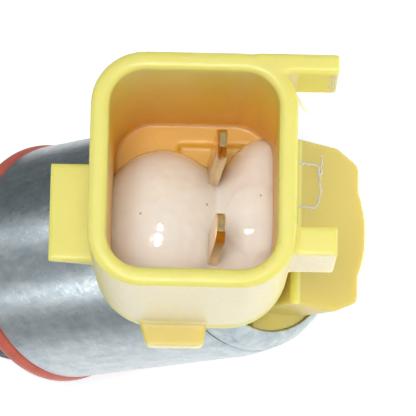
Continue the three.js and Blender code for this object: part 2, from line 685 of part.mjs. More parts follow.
function addGearbox() {
  const seat = CAN_FRONT_X + PRESS_GAP;
  const pocket = CAN_FRONT_X + 2.2;
  const shoulder = [CAN_FRONT_X + 2.5, CAN_FRONT_X + 3.1];
  const adapterBore = FRONT_BOSS_RADIUS + 0.2;
  const oringSeatX = CAN_FRONT_X + SKIRT_LENGTH + 0.1;
  const adapterFront = CAN_FRONT_X + ADAPTER_LENGTH;
  let adapter = turned([
    [seat, adapterBore],
    [seat, ADAPTER_RADIUS],
    [oringSeatX, ADAPTER_RADIUS],
    [oringSeatX, ORING_SEAT_RADIUS],
    [shoulder[0], ORING_SEAT_RADIUS],
    [shoulder[0], SHOULDER_RADIUS],
    [shoulder[1], SHOULDER_RADIUS],
    [shoulder[1], ADAPTER_RADIUS],
    [adapterFront - 0.3, ADAPTER_RADIUS],
    [adapterFront, ADAPTER_RADIUS - 0.3],
    [adapterFront, GEARBOX_RADIUS + PRESS_GAP],
    [pocket, GEARBOX_RADIUS + PRESS_GAP],
    [pocket, adapterBore],
  ], GEARBOX_SIDES);
  [0, Math.PI].forEach((angle, i) => {
    adapter = adapter
      .subtract(rodAt(CAN_FRONT_X - 1, pocket + 1, 0.95, ADAPTER_SCREW_CIRCLE, angle))
      .subtract(rodAt(CAN_FRONT_X + 1.1, pocket + 1, 1.7, ADAPTER_SCREW_CIRCLE, angle));
    const [y, z] = polar(ADAPTER_SCREW_CIRCLE, angle);
    const head = screw(CAN_FRONT_X - 1.4, CAN_FRONT_X + 1.15, CAN_FRONT_X + 2.15, 0.8, 1.55, 0);
    add(`adapter_screw_${i + 1}`, head, STEEL).position.set(0, y, z);
  });
  add('gearbox_adapter', adapter, BLACK_PLASTIC);

  const spigotRear = -FLANGE_THICKNESS - 3;
  const spigotRadius = 5.4;
  const bushPocket = OUTPUT_BUSH_RADIUS + PRESS_GAP;
  const earRear = -FLANGE_THICKNESS - 2;
  const earFront = -FLANGE_THICKNESS - PRESS_GAP;
  const screwEnd = earRear + 0.2;
  let ring = rod(pocket + PRESS_GAP, earFront, GEARBOX_RADIUS, GEARBOX_SIDES);
  let flange = turned([
    [spigotRear, bushPocket],
    [spigotRear, spigotRadius],
    [-FLANGE_THICKNESS, spigotRadius],
    [-FLANGE_THICKNESS, FLANGE_RADIUS],
    [0, FLANGE_RADIUS],
    [0, PILOT_RADIUS],
    [PILOT_LENGTH, PILOT_RADIUS],
    [PILOT_LENGTH, bushPocket],
    [-1, bushPocket],
    [-1, 2.4],
    [-3, 2.4],
    [-3, bushPocket],
  ], GEARBOX_SIDES);
  EAR_ANGLES.forEach((angle, i) => {
    const circle = COVER_SCREW_CIRCLE;
    ring = ring
      .add(rodAt(earRear, earFront, 1.6, circle - 0.15, angle))
      .subtract(rodAt(earRear - 1, earFront + 1, 0.76, circle, angle));
    const sink = turned([
      [-FLANGE_THICKNESS - 1, 0],
      [-FLANGE_THICKNESS - 1, 0.85],
      [-0.9, 0.85],
      [-0.1, 1.5],
      [1, 1.5],
      [1, 0],
    ], SMALL_SIDES);
    const [y, z] = polar(circle, angle);
    flange = flange.subtract(moved(sink, 0, y, z));
    add(`cover_screw_${i + 1}`, screw(screwEnd, -0.15, -0.05, 0.7, 1.35, 0.7), STEEL)
      .position.set(0, y, z);
  });
  const ringTeeth = gearOutline(RING_TEETH, DEDENDUM, ADDENDUM, -FLANK_THINNING);
  const toothSpace = aroundX(alongX(ringTeeth, pocket - 1, 0), Math.PI / RING_TEETH);
  add('ring_gear', ring.subtract(toothSpace), DARK_STEEL);

  for (const angle of MOUNT_ANGLES) {
    flange = flange.subtract(
      rodAt(-FLANGE_THICKNESS - 1, 1, MOUNT_HOLE_RADIUS, MOUNT_CIRCLE_RADIUS, angle),
    );
  }
  add('front_flange', flange, STEEL);
  const bushOuter = OUTPUT_BUSH_RADIUS - 2 * PRESS_GAP;
  const bushInner = OUTPUT_RADIUS + RUNNING_GAP;
  const rearBush = tube(spigotRear, -3 - PRESS_GAP, bushOuter, bushInner);
  add('output_bush_rear', rearBush, BRONZE);
  add('output_bush_front', tube(PRESS_GAP - 1, PILOT_LENGTH, bushOuter, bushInner), BRONZE);
}

addMotorShell();
addField();
addBrushGear();
addArmature();
addStages();
addGearbox();
addConnector();

export default model;
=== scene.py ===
# Looks of the geared DC motor: the visible pieces, their materials, the stage and the camera.
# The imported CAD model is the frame. Shapes are written in millimetres and scaled once, when they
# become objects; the camera and the stage are in metres. The part's own axes are X along the motor
# and Z towards the connector's side.
import bpy
import bmesh
import json
import math
from mathutils import Matrix, Vector, noise


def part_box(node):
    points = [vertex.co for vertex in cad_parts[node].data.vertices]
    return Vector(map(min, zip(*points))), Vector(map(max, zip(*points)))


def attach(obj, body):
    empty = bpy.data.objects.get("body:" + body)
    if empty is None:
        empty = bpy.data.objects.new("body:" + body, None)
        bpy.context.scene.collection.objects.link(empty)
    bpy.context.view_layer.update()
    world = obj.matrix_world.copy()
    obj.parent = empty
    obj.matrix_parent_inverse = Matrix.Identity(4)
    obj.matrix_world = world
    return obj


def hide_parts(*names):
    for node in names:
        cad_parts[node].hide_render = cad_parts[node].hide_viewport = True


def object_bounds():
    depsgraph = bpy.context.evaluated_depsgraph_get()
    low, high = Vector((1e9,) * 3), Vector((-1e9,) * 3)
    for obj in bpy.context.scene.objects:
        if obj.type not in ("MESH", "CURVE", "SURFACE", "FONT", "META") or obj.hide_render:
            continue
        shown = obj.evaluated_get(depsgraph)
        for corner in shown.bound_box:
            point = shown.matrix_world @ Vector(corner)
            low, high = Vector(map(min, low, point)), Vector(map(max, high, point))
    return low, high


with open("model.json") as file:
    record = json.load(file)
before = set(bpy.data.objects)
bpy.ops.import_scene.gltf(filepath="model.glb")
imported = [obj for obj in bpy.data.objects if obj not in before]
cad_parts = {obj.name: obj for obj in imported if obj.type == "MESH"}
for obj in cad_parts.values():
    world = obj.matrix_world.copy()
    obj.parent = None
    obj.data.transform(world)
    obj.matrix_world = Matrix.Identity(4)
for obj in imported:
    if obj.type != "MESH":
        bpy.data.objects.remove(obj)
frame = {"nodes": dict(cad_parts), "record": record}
cad_low, cad_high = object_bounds()

MM = 0.001


def lowest(node):
    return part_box(node)[0] / MM


def highest(node):
    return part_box(node)[1] / MM


# ---- Driving dimensions, in millimetres, from the frame -----------------------------------------

CAN_RADIUS = highest("motor_can").y
CAN_FRONT_X = highest("motor_can").x - 1  # the front boss stands 1 mm proud
CAN_REAR_X = lowest("motor_can").x
LIP_X = lowest("end_bell").x
BLOCK_REAR_X = -49.0
CROSSING_X = CAN_REAR_X + 5.9  # where the connector's axis meets the motor's

# The connector's own axes: U across towards the rear, V sideways, W out of the mouth
TILT = math.radians(45)
CONNECTOR = Matrix((
    (-math.sin(TILT), 0, -math.cos(TILT), CROSSING_X),
    (0, -1, 0, 0),
    (-math.cos(TILT), 0, math.sin(TILT), 0),
    (0, 0, 0, 1),
))
RIM_W = 28.8  # the socket's mouth
BASE_W = 8.95  # its underside
FLOOR_W = 10.55  # the floor of its cavity
HALF_U = 7.66  # half its outside size, along U and V
HALF_V = 8.8
WALL = 1.38
RIM_CORNER = 4.0  # outside corners at the mouth
BASE_CORNER = 5.0  # outside corners at the underside
CAVITY_CORNER = 2.65
LUG_LOW_W = 10.9
LUG_TOP_W = 12.3
LAND_HEIGHT = 0.4  # of the floor's raised parts
BURY = 0.4  # how far a feature runs into the one it's moulded on to
UPPER_RIB_V = 7.36  # inner side of the rib that's flush with the socket's +V side
LOWER_RIB_V = (-6.25, -4.05)  # both sides of the other rib
BLADE_HALF_PITCH = 3.235
BLADE_TIP_U = 2.2
BLADE_TIP_W = 23.95
BLADE_LEAN = math.radians(3)
VOXEL = 0.15  # of the grid that a moulding is rebuilt on
SMOOTHING_PASSES = 5

# ---- Camera ----------------------------------------------------------------------------------

CAMERA_AT = Vector((-0.209964, 0.046481, 0.173489))
CAMERA_RIGHT = Vector((-0.71307, -0.01982, -0.70081)).normalized()
CAMERA_UP = Vector((-0.12409, -0.98025, 0.15399)).normalized()
CAMERA_LENS = 261.6
SENSOR_WIDTH = 36  # in millimetres, like the lens


def add_camera():
    data = bpy.data.cameras.new("camera")
    data.lens = CAMERA_LENS
    data.sensor_width = SENSOR_WIDTH
    data.clip_start = 0.01
    camera = bpy.data.objects.new("camera", data)
    bpy.context.scene.collection.objects.link(camera)
    back = CAMERA_RIGHT.cross(CAMERA_UP)
    turn = Matrix((CAMERA_RIGHT, CAMERA_UP, back)).transposed()
    camera.matrix_world = Matrix.Translation(CAMERA_AT) @ turn.to_4x4()
    bpy.context.scene.camera = camera


add_camera()

# ---- Outlines and solids -----------------------------------------------------------------------


def filleted(corners, steps=5):
    """A closed outline from corners (a, b, fillet), each rounded by an arc of its fillet radius."""
    points = []
    for i, (a, b, fillet) in enumerate(corners):
        here = Vector((a, b))
        before = Vector(corners[i - 1][:2]) - here
        after = Vector(corners[(i + 1) % len(corners)][:2]) - here
        half = before.angle(after) / 2
        if fillet == 0 or half > math.radians(89):
            points.append(here)
            continue
        reach = min(fillet / math.tan(half), 0.49 * before.length, 0.49 * after.length)
        radius = reach * math.tan(half)
        inwards = (before.normalized() + after.normalized()).normalized()
        centre = here + inwards * radius / math.sin(half)
        first = here + before.normalized() * reach - centre
        last = here + after.normalized() * reach - centre
        sweep = first.angle(last)
        for k in range(steps + 1):
            t = k / steps
            share = first * math.sin((1 - t) * sweep) + last * math.sin(t * sweep)
            points.append(centre + share / math.sin(sweep))
    return points


def rounded_rect(half_a, half_b, radius, steps=10):
    corners = [(half_a, half_b), (-half_a, half_b), (-half_a, -half_b), (half_a, -half_b)]
    return filleted([(a, b, radius) for a, b in corners], steps)


def loft(rings):
    """A closed solid through rings of equally many points, capped at both ends."""
    mesh = bmesh.new()
    loops = [[mesh.verts.new(point) for point in ring] for ring in rings]
    for near, far in zip(loops, loops[1:]):
        for i in range(len(near)):
            j = (i + 1) % len(near)
            mesh.faces.new((near[i], near[j], far[j], far[i]))
    mesh.faces.new(loops[0])
    mesh.faces.new(loops[-1])
    bmesh.ops.recalc_face_normals(mesh, faces=mesh.faces)
    return mesh


def finely(outline, step):
    """The closed outline with its long stretches cut into steps."""
    points = []
    for start, end in zip(outline, outline[1:] + outline[:1]):
        count = max(1, round((end - start).length / step))
        points += [start.lerp(end, k / count) for k in range(count)]
    return points


def prism(outline, low, high, axis):
    """An outline carried from low to high along axis 0, 1 or 2."""
    def place(point, at):
        values = list(point)
        values.insert(axis, at)
        return values

    return loft([[place(p, at) for p in outline] for at in (low, high)])


def revolve(profile, sides=192):
    """A turned piece about X from a closed profile of (x, radius)."""
    mesh = bmesh.new()
    loops = []
    for k in range(sides):
        angle = 2 * math.pi * k / sides
        ring = [(x, r * math.cos(angle), r * math.sin(angle)) for x, r in profile]
        loops.append([mesh.verts.new(point) for point in ring])
    count = len(profile)
    for k in range(sides):
        near, far = loops[k], loops[(k + 1) % sides]
        for i in range(count):
            j = (i + 1) % count
            mesh.faces.new((near[i], near[j], far[j], far[i]))
    bmesh.ops.remove_doubles(mesh, verts=mesh.verts, dist=1e-5)
    bmesh.ops.dissolve_degenerate(mesh, edges=mesh.edges, dist=1e-6)
    bmesh.ops.recalc_face_normals(mesh, faces=mesh.faces)
    return mesh


def join(meshes):
    """The meshes as one, not yet merged where they overlap."""
    whole = bmesh.new()
    for part in meshes:
        data = bpy.data.meshes.new("part")
        part.to_mesh(data)
        whole.from_mesh(data)
        bpy.data.meshes.remove(data)
        part.free()
    return whole


def object_of(name, mesh, place=None, sharp=math.radians(35)):
    """The millimetre mesh as an object in metres, in the part's frame."""
    if place is not None:
        mesh.transform(place)
    mesh.transform(Matrix.Scale(MM, 4))
    data = bpy.data.meshes.new(name)
    mesh.to_mesh(data)
    mesh.free()
    data.shade_smooth()
    data.set_sharp_from_angle(angle=sharp)
    piece = bpy.data.objects.new(name, data)
    bpy.context.scene.collection.objects.link(piece)
    return piece


def evaluated(mesh, settings):
    """A mesh after modifiers: settings is a list of (type, {property: value})."""
    data = bpy.data.meshes.new("work")
    mesh.to_mesh(data)
    mesh.free()
    work = bpy.data.objects.new("work", data)
    bpy.context.scene.collection.objects.link(work)
    for kind, values in settings:
        modifier = work.modifiers.new(kind, kind)
        for key, value in values.items():
            setattr(modifier, key, value)
    bpy.context.view_layer.update()
    graph = bpy.context.evaluated_depsgraph_get()
    result = bmesh.new()
    result.from_mesh(work.evaluated_get(graph).to_mesh())
    bpy.data.objects.remove(work)
    bpy.data.meshes.remove(data)
    return result


def moulded(parts):
    """The parts as one moulding, with every edge and inner corner slightly rounded."""
    return evaluated(join(parts), [
        ("REMESH", {"mode": "VOXEL", "voxel_size": VOXEL, "adaptivity": 0}),
        ("SMOOTH", {"factor": 0.5, "iterations": SMOOTHING_PASSES}),
    ])


def cut(mesh, cutters):
    """The mesh less each cutter."""
    cutter_objects = []
    settings = []
    for cutter in cutters:
        data = bpy.data.meshes.new("cutter")
        cutter.to_mesh(data)
        cutter.free()
        tool = bpy.data.objects.new("cutter", data)
        bpy.context.scene.collection.objects.link(tool)
        cutter_objects.append(tool)
        settings.append(("BOOLEAN", {"operation": "DIFFERENCE", "solver": "EXACT", "object": tool}))
    result = evaluated(mesh, settings)
    for tool in cutter_objects:
        data = tool.data
        bpy.data.objects.remove(tool)
        bpy.data.meshes.remove(data)
    return result


def finish_piece(piece, material, slot, body, *replaced):
    """Gives the piece its material, the body it rides and the nodes it replaces; its slot is not used.
    """
    piece.data.materials.clear()
    piece.data.materials.append(material)
    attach(piece, body)
    if replaced:
        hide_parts(*replaced)


# ---- Materials -------------------------------------------------------------------------------


class Finish:
    """A node material under construction: a Principled shader and short-hands for its inputs."""

    def __init__(self, name, **values):
        self.material = bpy.data.materials.new(name)
        self.material.use_nodes = True
        self.tree = self.material.node_tree
        self.shader = self.tree.nodes["Principled BSDF"]
        self.coordinates = self.tree.nodes.new("ShaderNodeTexCoord").outputs["Object"]
        for key, value in values.items():
            self.shader.inputs[key.replace("_", " ")].default_value = value

    def node(self, kind, inputs=None, **properties):
        """A new node: each input is linked to an output or set to a value."""
        made = self.tree.nodes.new(kind)
        for key, value in properties.items():
            setattr(made, key, value)
        for key, value in (inputs or {}).items():
            if isinstance(value, bpy.types.NodeSocket):
                self.tree.links.new(value, made.inputs[key])
            else:
                made.inputs[key].default_value = value
        return made

    def noise(self, size_mm, detail=3, roughness=0.5, stretch=(1, 1, 1)):
        """Noise between 0 and 1 with features of about size_mm."""
        mapped = self.node("ShaderNodeMapping", {"Vector": self.coordinates, "Scale": stretch})
        return self.node("ShaderNodeTexNoise", {
            "Vector": mapped.outputs["Vector"], "Scale": 1 / (size_mm * MM),
            "Detail": detail, "Roughness": roughness,
        }).outputs["Fac"]

    def ramp(self, factor, stops):
        """A colour ramp: stops is a list of (position, colour)."""
        made = self.node("ShaderNodeValToRGB", {"Fac": factor})
        elements = made.color_ramp.elements
        while len(elements) < len(stops):
            elements.new(0.5)
        for element, (position, colour) in zip(elements, stops):
            element.position = position
            element.color = (*colour, 1)
        return made.outputs["Color"]

    def attribute(self, name):
        """A share that the mesh stores at each point."""
        return self.node("ShaderNodeAttribute", attribute_name=name).outputs["Fac"]

    def between(self, factor, low, high):
        """A noise's middle range stretched to run from low to high."""
        return self.node("ShaderNodeMapRange", {
            "Value": factor, "From Min": 0.3, "From Max": 0.7, "To Min": low, "To Max": high,
        }).outputs["Result"]

    def mix(self, factor, first, second, blend="MIX"):
        """Two colours mixed: each of the three is an output or a value."""
        made = self.node("ShaderNodeMix", data_type="RGBA", blend_type=blend)
        sockets = (made.inputs[0], made.inputs[6], made.inputs[7])
        for socket, value in zip(sockets, (factor, first, second)):
            if isinstance(value, bpy.types.NodeSocket):
                self.tree.links.new(value, socket)
            else:
                socket.default_value = value if isinstance(value, float) else (*value, 1)
        return made.outputs[2]

    def set(self, name, output):
        self.tree.links.new(output, self.shader.inputs[name])

    def bump(self, height, depth_mm):
        made = self.node("ShaderNodeBump", {"Height": height, "Distance": depth_mm * MM})
        self.set("Normal", made.outputs["Normal"])


def yellow_plastic():
    """Satin moulded plastic that lets a little light through.

    Painted light deepens it to orange down the socket, for light let through the walls and bounced
    inside; painted shade darkens the slab, plug and lugs; faces turned to +Y get a matt grain paled as
    a painted sheen; it pales where flash is torn, and along the floor's line as a painted highlight.
    """
    finish = Finish("yellow_plastic", Subsurface_Weight=0.5, Subsurface_Scale=0.003, IOR=1.5)
    finish.shader.inputs["Subsurface Radius"].default_value = (1.0, 0.75, 0.25)
    tone = finish.ramp(finish.noise(5, 3), [(0.3, (0.98, 0.97, 0.95)), (0.7, (1, 1, 1))])
    # painted light: orange down the cavity for light let through the walls and bounced inside, darker
    # at the floor as painted shade
    painted_cavity_colour = finish.ramp(finish.attribute("painted_cavity_light"), [
        (0.0, (0.79, 0.72, 0.185)), (0.2, (0.92, 0.72, 0.125)),
        (0.5, (0.99, 0.66, 0.085)), (1.0, (0.78, 0.45, 0.07)),
    ])
    toned = finish.mix(1.0, painted_cavity_colour, tone, "MULTIPLY")
    # painted shade: the slab, plug and lugs darkened as if in shade
    thickness_or_painted_shade = finish.mix(finish.attribute("painted_shade"), (1.0, 1.0, 1.0), (0.80, 0.71, 0.62))
    with_painted_light = finish.mix(1.0, toned, thickness_or_painted_shade, "MULTIPLY")
    # the mould's matt grain, paled as a painted sheen for light from below glancing off faces turned to
    # +Y
    grain = finish.ramp(finish.noise(0.22, 2), [(0.35, (0.79, 0.70, 0.42)), (0.65, (0.87, 0.79, 0.55))])
    with_painted_sheen = finish.mix(finish.attribute("matt_grain_and_painted_sheen"), with_painted_light, grain)
    # stress-whitened flash, and the floor's line paled as a painted highlight
    with_flash_and_highlight = finish.mix(finish.attribute("flash_pale_and_highlight"), with_painted_sheen, (0.98, 0.96, 0.88))
    dust = finish.ramp(finish.noise(0.5, 3), [(0.72, (1, 1, 1)), (0.80, (0.80, 0.76, 0.62))])
    finish.set("Base Color", finish.mix(1.0, with_flash_and_highlight, dust, "MULTIPLY"))
    finish.set("Roughness", finish.between(finish.noise(0.9, 3), 0.34, 0.46))
    finish.bump(finish.noise(0.18, 3), 0.008)
    return finish.material


def potting_resin():
    """Cream resin, poured and glossy: tan where it thins over the floor, with a few specks."""
    finish = Finish(
        "potting_resin", Subsurface_Weight=0.5, Subsurface_Scale=0.002,
        Coat_Weight=0.6, Coat_Roughness=0.04, IOR=1.5,
    )
    finish.shader.inputs["Subsurface Radius"].default_value = (1.0, 0.95, 0.9)
    cloud = finish.ramp(finish.noise(4.5, 3), [(0.3, (0.98, 0.97, 0.965)), (0.7, (0.965, 0.945, 0.93))])
    film = finish.mix(finish.attribute("thin"), cloud, (0.86, 0.60, 0.36))
    specks = finish.node("ShaderNodeTexVoronoi", {"Vector": finish.coordinates, "Scale": 620.0})
    dot = finish.ramp(specks.outputs["Distance"], [(0.05, (0.35, 0.27, 0.22)), (0.085, (1, 1, 1))])
    finish.set("Base Color", finish.mix(0.7, film, dot, "MULTIPLY"))
    finish.set("Roughness", finish.between(finish.noise(2.0, 2), 0.10, 0.22))
    finish.bump(finish.noise(1.8, 3), 0.09)
    return finish.material


def zinc_plated():
    """Drawn steel under bright zinc: faint spangle, streaks along the draw and small dull patches."""
    finish = Finish("zinc_plated", Metallic=1.0)
    drawn = finish.noise(0.7, 4, stretch=(0.3, 1, 1))
    streaks = finish.ramp(drawn, [(0.3, (0.42, 0.47, 0.495)), (0.7, (0.54, 0.585, 0.60))])
    patches = finish.noise(1.1, 6, 0.75)
    clouds = finish.ramp(patches, [(0.35, (0.74, 0.79, 0.84)), (0.65, (1.0, 1.0, 0.98))])
    spots = finish.ramp(finish.noise(0.16, 2), [(0.60, (1, 1, 1)), (0.72, (1.12, 1.12, 1.12))])
    patched = finish.mix(1.0, streaks, clouds, "MULTIPLY")
    finish.set("Base Color", finish.mix(1.0, patched, spots, "MULTIPLY"))
    finish.set("Roughness", finish.between(finish.noise(0.5, 6, 0.75), 0.24, 0.40))
    finish.bump(finish.noise(0.35, 5, 0.65), 0.009)
    return finish.material


def silicone():
    """Soft red rubber, slightly translucent."""
    finish = Finish(
        "red_silicone", Subsurface_Weight=0.15, Subsurface_Scale=0.0008, Sheen_Weight=0.15,
    )
    reds = [(0.3, (0.47, 0.085, 0.05)), (0.7, (0.57, 0.12, 0.075))]
    finish.set("Base Color", finish.ramp(finish.noise(1.5, 3), reds))
    finish.set("Roughness", finish.between(finish.noise(0.6, 3), 0.32, 0.5))
    finish.bump(finish.noise(0.3, 3), 0.01)
    return finish.material


def plastic(name, dark, light, rough=(0.45, 0.65), grain_mm=0.2, depth_mm=0.01):
    """A moulded or pressed material without a metal's shine."""
    finish = Finish(name)
    finish.set("Base Color", finish.ramp(finish.noise(1.6, 4), [(0.3, dark), (0.7, light)]))
    finish.set("Roughness", finish.between(finish.noise(0.7, 3), *rough))
    finish.bump(finish.noise(grain_mm, 3), depth_mm)
    return finish.material


def metal(name, dark, light, rough=(0.22, 0.38), stretch=(1, 1, 1), grain_mm=0.25, depth_mm=0.004):
    """A worked metal; stretch sets the direction of its tool marks."""
    finish = Finish(name, Metallic=1.0)
    finish.set("Base Color", finish.ramp(finish.noise(1.4, 4, 0.6), [(0.3, dark), (0.7, light)]))
    finish.set("Roughness", finish.between(finish.noise(0.5, 4, stretch=stretch), *rough))
    finish.bump(finish.noise(grain_mm, 3, stretch=stretch), depth_mm)
    return finish.material


TURNED = (6, 0.4, 0.4)  # tool marks around X
HOBBED = (0.4, 2, 2)  # tool marks along X
MATERIALS = {
    "zinc_plated": zinc_plated(),
    "yellow_plastic": yellow_plastic(),
    "potting_resin": potting_resin(),
    "red_silicone": silicone(),
    "black_plastic": plastic("black_plastic", (0.012, 0.012, 0.013), (0.022, 0.022, 0.024)),
    "brown_plastic": plastic(
        "brown_plastic", (0.12, 0.055, 0.025), (0.17, 0.08, 0.035), grain_mm=0.3,
    ),
    "carbon": plastic(
        "carbon", (0.025, 0.025, 0.027), (0.045, 0.045, 0.048), (0.6, 0.85), 0.12, 0.02,
    ),
    "ferrite": plastic(
        "ferrite", (0.05, 0.05, 0.055), (0.09, 0.09, 0.095), (0.65, 0.85), 0.18, 0.015,
    ),
    "brass": metal(
        "brass", (0.66, 0.45, 0.17), (0.84, 0.63, 0.30), (0.10, 0.24), (1, 1, 0.2), depth_mm=0.01,
    ),
    "bronze": metal(
        "bronze", (0.34, 0.22, 0.11), (0.46, 0.31, 0.16), (0.4, 0.6), grain_mm=0.12, depth_mm=0.012,
    ),
    "copper": metal("copper", (0.62, 0.27, 0.14), (0.74, 0.36, 0.20), (0.2, 0.36), HOBBED),
    "steel": metal("steel", (0.50, 0.52, 0.54), (0.64, 0.655, 0.67), (0.2, 0.34), TURNED),
    "gear_steel": metal("gear_steel", (0.34, 0.35, 0.36), (0.46, 0.47, 0.48), (0.25, 0.42), HOBBED),
    "dark_steel": metal("dark_steel", (0.07, 0.073, 0.078), (0.11, 0.113, 0.118), (0.3, 0.48), TURNED),
}

# Every CAD node starts with its slot's material; the finer pieces below then stand in for some
for row in frame["record"]["subparts"]:
    slots = frame["nodes"][row["node"]].data.materials
    slots.clear()
    slots.append(MATERIALS[row["material_slot"]])

# ---- Connector -------------------------------------------------------------------------------


def shroud_ring(inset, corner, w):
    """The socket's outline moved inwards, at that height."""
    return [(u, v, w) for u, v in rounded_rect(HALF_U - inset, HALF_V - inset, corner)]


def shroud():
    """The socket: out from its base, over the rim and down the cavity to its floor."""
    edge = 0.3  # radius of the rim's and the base's edges
    bow_in, bow_down = 0.1, 0.09  # the point halfway round such an edge
    cove = 0.5  # radius where the walls meet the floor
    return loft([
        shroud_ring(edge, BASE_CORNER, BASE_W),
        shroud_ring(0, BASE_CORNER, BASE_W + edge),
        shroud_ring(0, RIM_CORNER, RIM_W - edge),
        shroud_ring(bow_in, RIM_CORNER, RIM_W - bow_down),
        shroud_ring(edge, RIM_CORNER, RIM_W),
        shroud_ring(WALL - edge, CAVITY_CORNER + edge, RIM_W),
        shroud_ring(WALL - bow_in, CAVITY_CORNER, RIM_W - bow_down),
        shroud_ring(WALL, CAVITY_CORNER, RIM_W - edge),
        shroud_ring(WALL + 0.02, CAVITY_CORNER + cove, FLOOR_W + cove),
        shroud_ring(WALL + cove, CAVITY_CORNER + 0.3, FLOOR_W),
    ])


def bar(low, high):
    """A plain bar between two corners, to be moulded into the rest."""
    outline = [(low[0], low[1]), (high[0], low[1]), (high[0], high[1]), (low[0], high[1])]
    return prism(outline, low[2], high[2], 2)


def lug(side):
    """A flat ear on the socket's side, narrower towards its rounded tip."""
    tip = 10.75
    root = HALF_V - BURY
    outline = filleted([(-4.1, root, 0), (1.4, root, 0), (1.0, tip, 0.5), (-3.4, tip, 0.5)], 4)
    return prism([(u, side * v) for u, v in outline], LUG_LOW_W, LUG_TOP_W, 2)


def key():
    """The wedge on the side away from the block: square in front, sloping away below."""
    root = BURY - HALF_U
    tip = -11.3
    front = 11.2
    tip_height = 0.7
    half_width = 3.9

    def section(v):
        outline = [(root, front), (tip, front), (tip, front - tip_height), (root, BASE_W)]
        return [(u, v, w) for u, w in outline]

    return loft([section(-half_width), section(half_width)])


def floor_lands():
    """The raised parts of the floor, around the pocket that the blades stand in."""
    pocket_u = -1.25
    pocket_v = 5.7
    in_wall_u = 6.4
    in_wall_v = 7.5
    overlap = 0.1
    low, high = FLOOR_W - BURY, FLOOR_W + LAND_HEIGHT
    return [
        bar((-in_wall_u, 1.5, low), (pocket_u, in_wall_v, high)),
        bar((pocket_u - overlap, pocket_v, low), (in_wall_u, in_wall_v, high)),
    ]


def ribs():
    """The two ribs on the side towards the block: the upper one starts at the rim itself."""
    upper_length = 6.5
    lower_length = 7.8
    lower_set_back = 0.8
    low_v, high_v = LOWER_RIB_V
    return [
        bar((4.5, UPPER_RIB_V, RIM_W - upper_length), (10.66, HALF_V, RIM_W)),
        bar((HALF_U - BURY, low_v, RIM_W - lower_length), (10.7, high_v, RIM_W - lower_set_back)),
    ]


def connector_socket():
    return moulded([shroud(), *ribs(), key(), lug(1), lug(-1), *floor_lands()])


def rear_block():
    """The chamfered slab with the round core that runs on into the can."""
    low_z = -6.46
    half_y = 6.71
    top_z = 1.0
    chamfer_y = 1.06
    chamfer_z = low_z + 2.6
    crisp, soft = 0.4, 0.7  # radii of the upper and lower edges
    slab = filleted([
        (half_y, top_z, crisp), (-half_y, top_z, crisp), (-half_y, chamfer_z, soft),
        (chamfer_y - half_y, low_z, soft), (half_y - chamfer_y, low_z, soft),
        (half_y, chamfer_z, soft),
    ])
    core_radius = 7.35
    plug_radius = 8.32
    start = math.asin(top_z / core_radius)
    steps = 64
    sweep = math.pi + 2 * start
    arc = [math.pi - start + sweep * k / steps for k in range(steps + 1)]

    def clipped_arc(radius, half_width):
        points = [(radius * math.cos(a), radius * math.sin(a)) for a in arc]
        return [(min(max(y, -half_width), half_width), z) for y, z in points]

    return moulded([
        prism(slab, BLOCK_REAR_X, LIP_X - 0.3, 0),
        prism(clipped_arc(core_radius, half_y - 0.02), BLOCK_REAR_X, LIP_X + 1.5, 0),
        prism(clipped_arc(plug_radius, plug_radius), LIP_X + 0.15, LIP_X + 3.6, 0),
    ])


def mark(piece, name, share):
    """Stores share(u, v, w, normal), held between 0 and 1, at each point of a connector piece."""
    into = CONNECTOR.inverted()
    attribute = piece.data.attributes.new(name, "FLOAT", "POINT")
    for i, vertex in enumerate(piece.data.vertices):
        u, v, w = into @ (vertex.co / MM)
        attribute.data[i].value = min(max(share(u, v, w, vertex.normal), 0), 1)


def in_cavity(u, v, w):
    """Whether a point lies on the socket's inner walls or its floor."""
    half_u = HALF_U - WALL - CAVITY_CORNER
    half_v = HALF_V - WALL - CAVITY_CORNER
    beyond = math.hypot(max(abs(u) - half_u, 0), max(abs(v) - half_v, 0))
    return beyond < CAVITY_CORNER + 0.3 and w > FLOOR_W - 0.5


def socket_depth(u, v, w, normal):
    """How deep a point lies in the cavity: 0 on open faces, rising to 1 at the floor. It sets the
    painted light and shade inside the socket.
    """
    return (RIM_W - 0.2 - w) / (RIM_W - 0.7 - FLOOR_W) if in_cavity(u, v, w) else 0


def shaded_slab_plug_and_lugs(u, v, w, normal):
    """The slab, plug and lugs, given a deeper yellow as painted shade."""
    on_lug = abs(v) > HALF_V + 0.1 and w < LUG_TOP_W + 0.3
    on_slab_plug_or_lug = on_lug or w < BASE_W + 0.3
    return 1 if on_slab_plug_or_lug and not in_cavity(u, v, w) else 0


def matt_faces_and_painted_sheen(u, v, w, normal):
    """The +Y outer faces of the socket and the lower rib: the mould's matt grain, paled as a painted
    sheen where they turn towards the light from the +Y side.
    """
    on_upper_rib = u > HALF_U and v > UPPER_RIB_V - 0.36
    if in_cavity(u, v, w) or on_upper_rib or w < BASE_W + 2.5:
        return 0
    facing = max(normal.y - 0.25, 0) * 1.4
    under_rim = max(min(1, (RIM_W - 0.35 - w) * 3), 0)
    return facing * under_rim


def add_connector():
    """The socket and the rear block, as one piece."""
    socket = connector_socket()
    socket.transform(CONNECTOR)
    piece = object_of("connector", join([socket, rear_block()]), sharp=math.radians(60))
    # painted light and shade down the cavity
    mark(piece, "painted_cavity_light", socket_depth)
    # painted shade on the slab, plug and lugs
    mark(piece, "painted_shade", shaded_slab_plug_and_lugs)
    # painted sheen on faces turned to +Y, with their matt grain
    mark(piece, "matt_grain_and_painted_sheen", matt_faces_and_painted_sheen)
    finish_piece(piece, MATERIALS["yellow_plastic"], "yellow_plastic", "housing", "connector_body")


OUT_OF_MOUTH = Vector((0, 0, 1))
SIDEWAYS = Vector((0, 1, 0))
OUT_OF_BLOCK = Vector((-1, 0, 0))


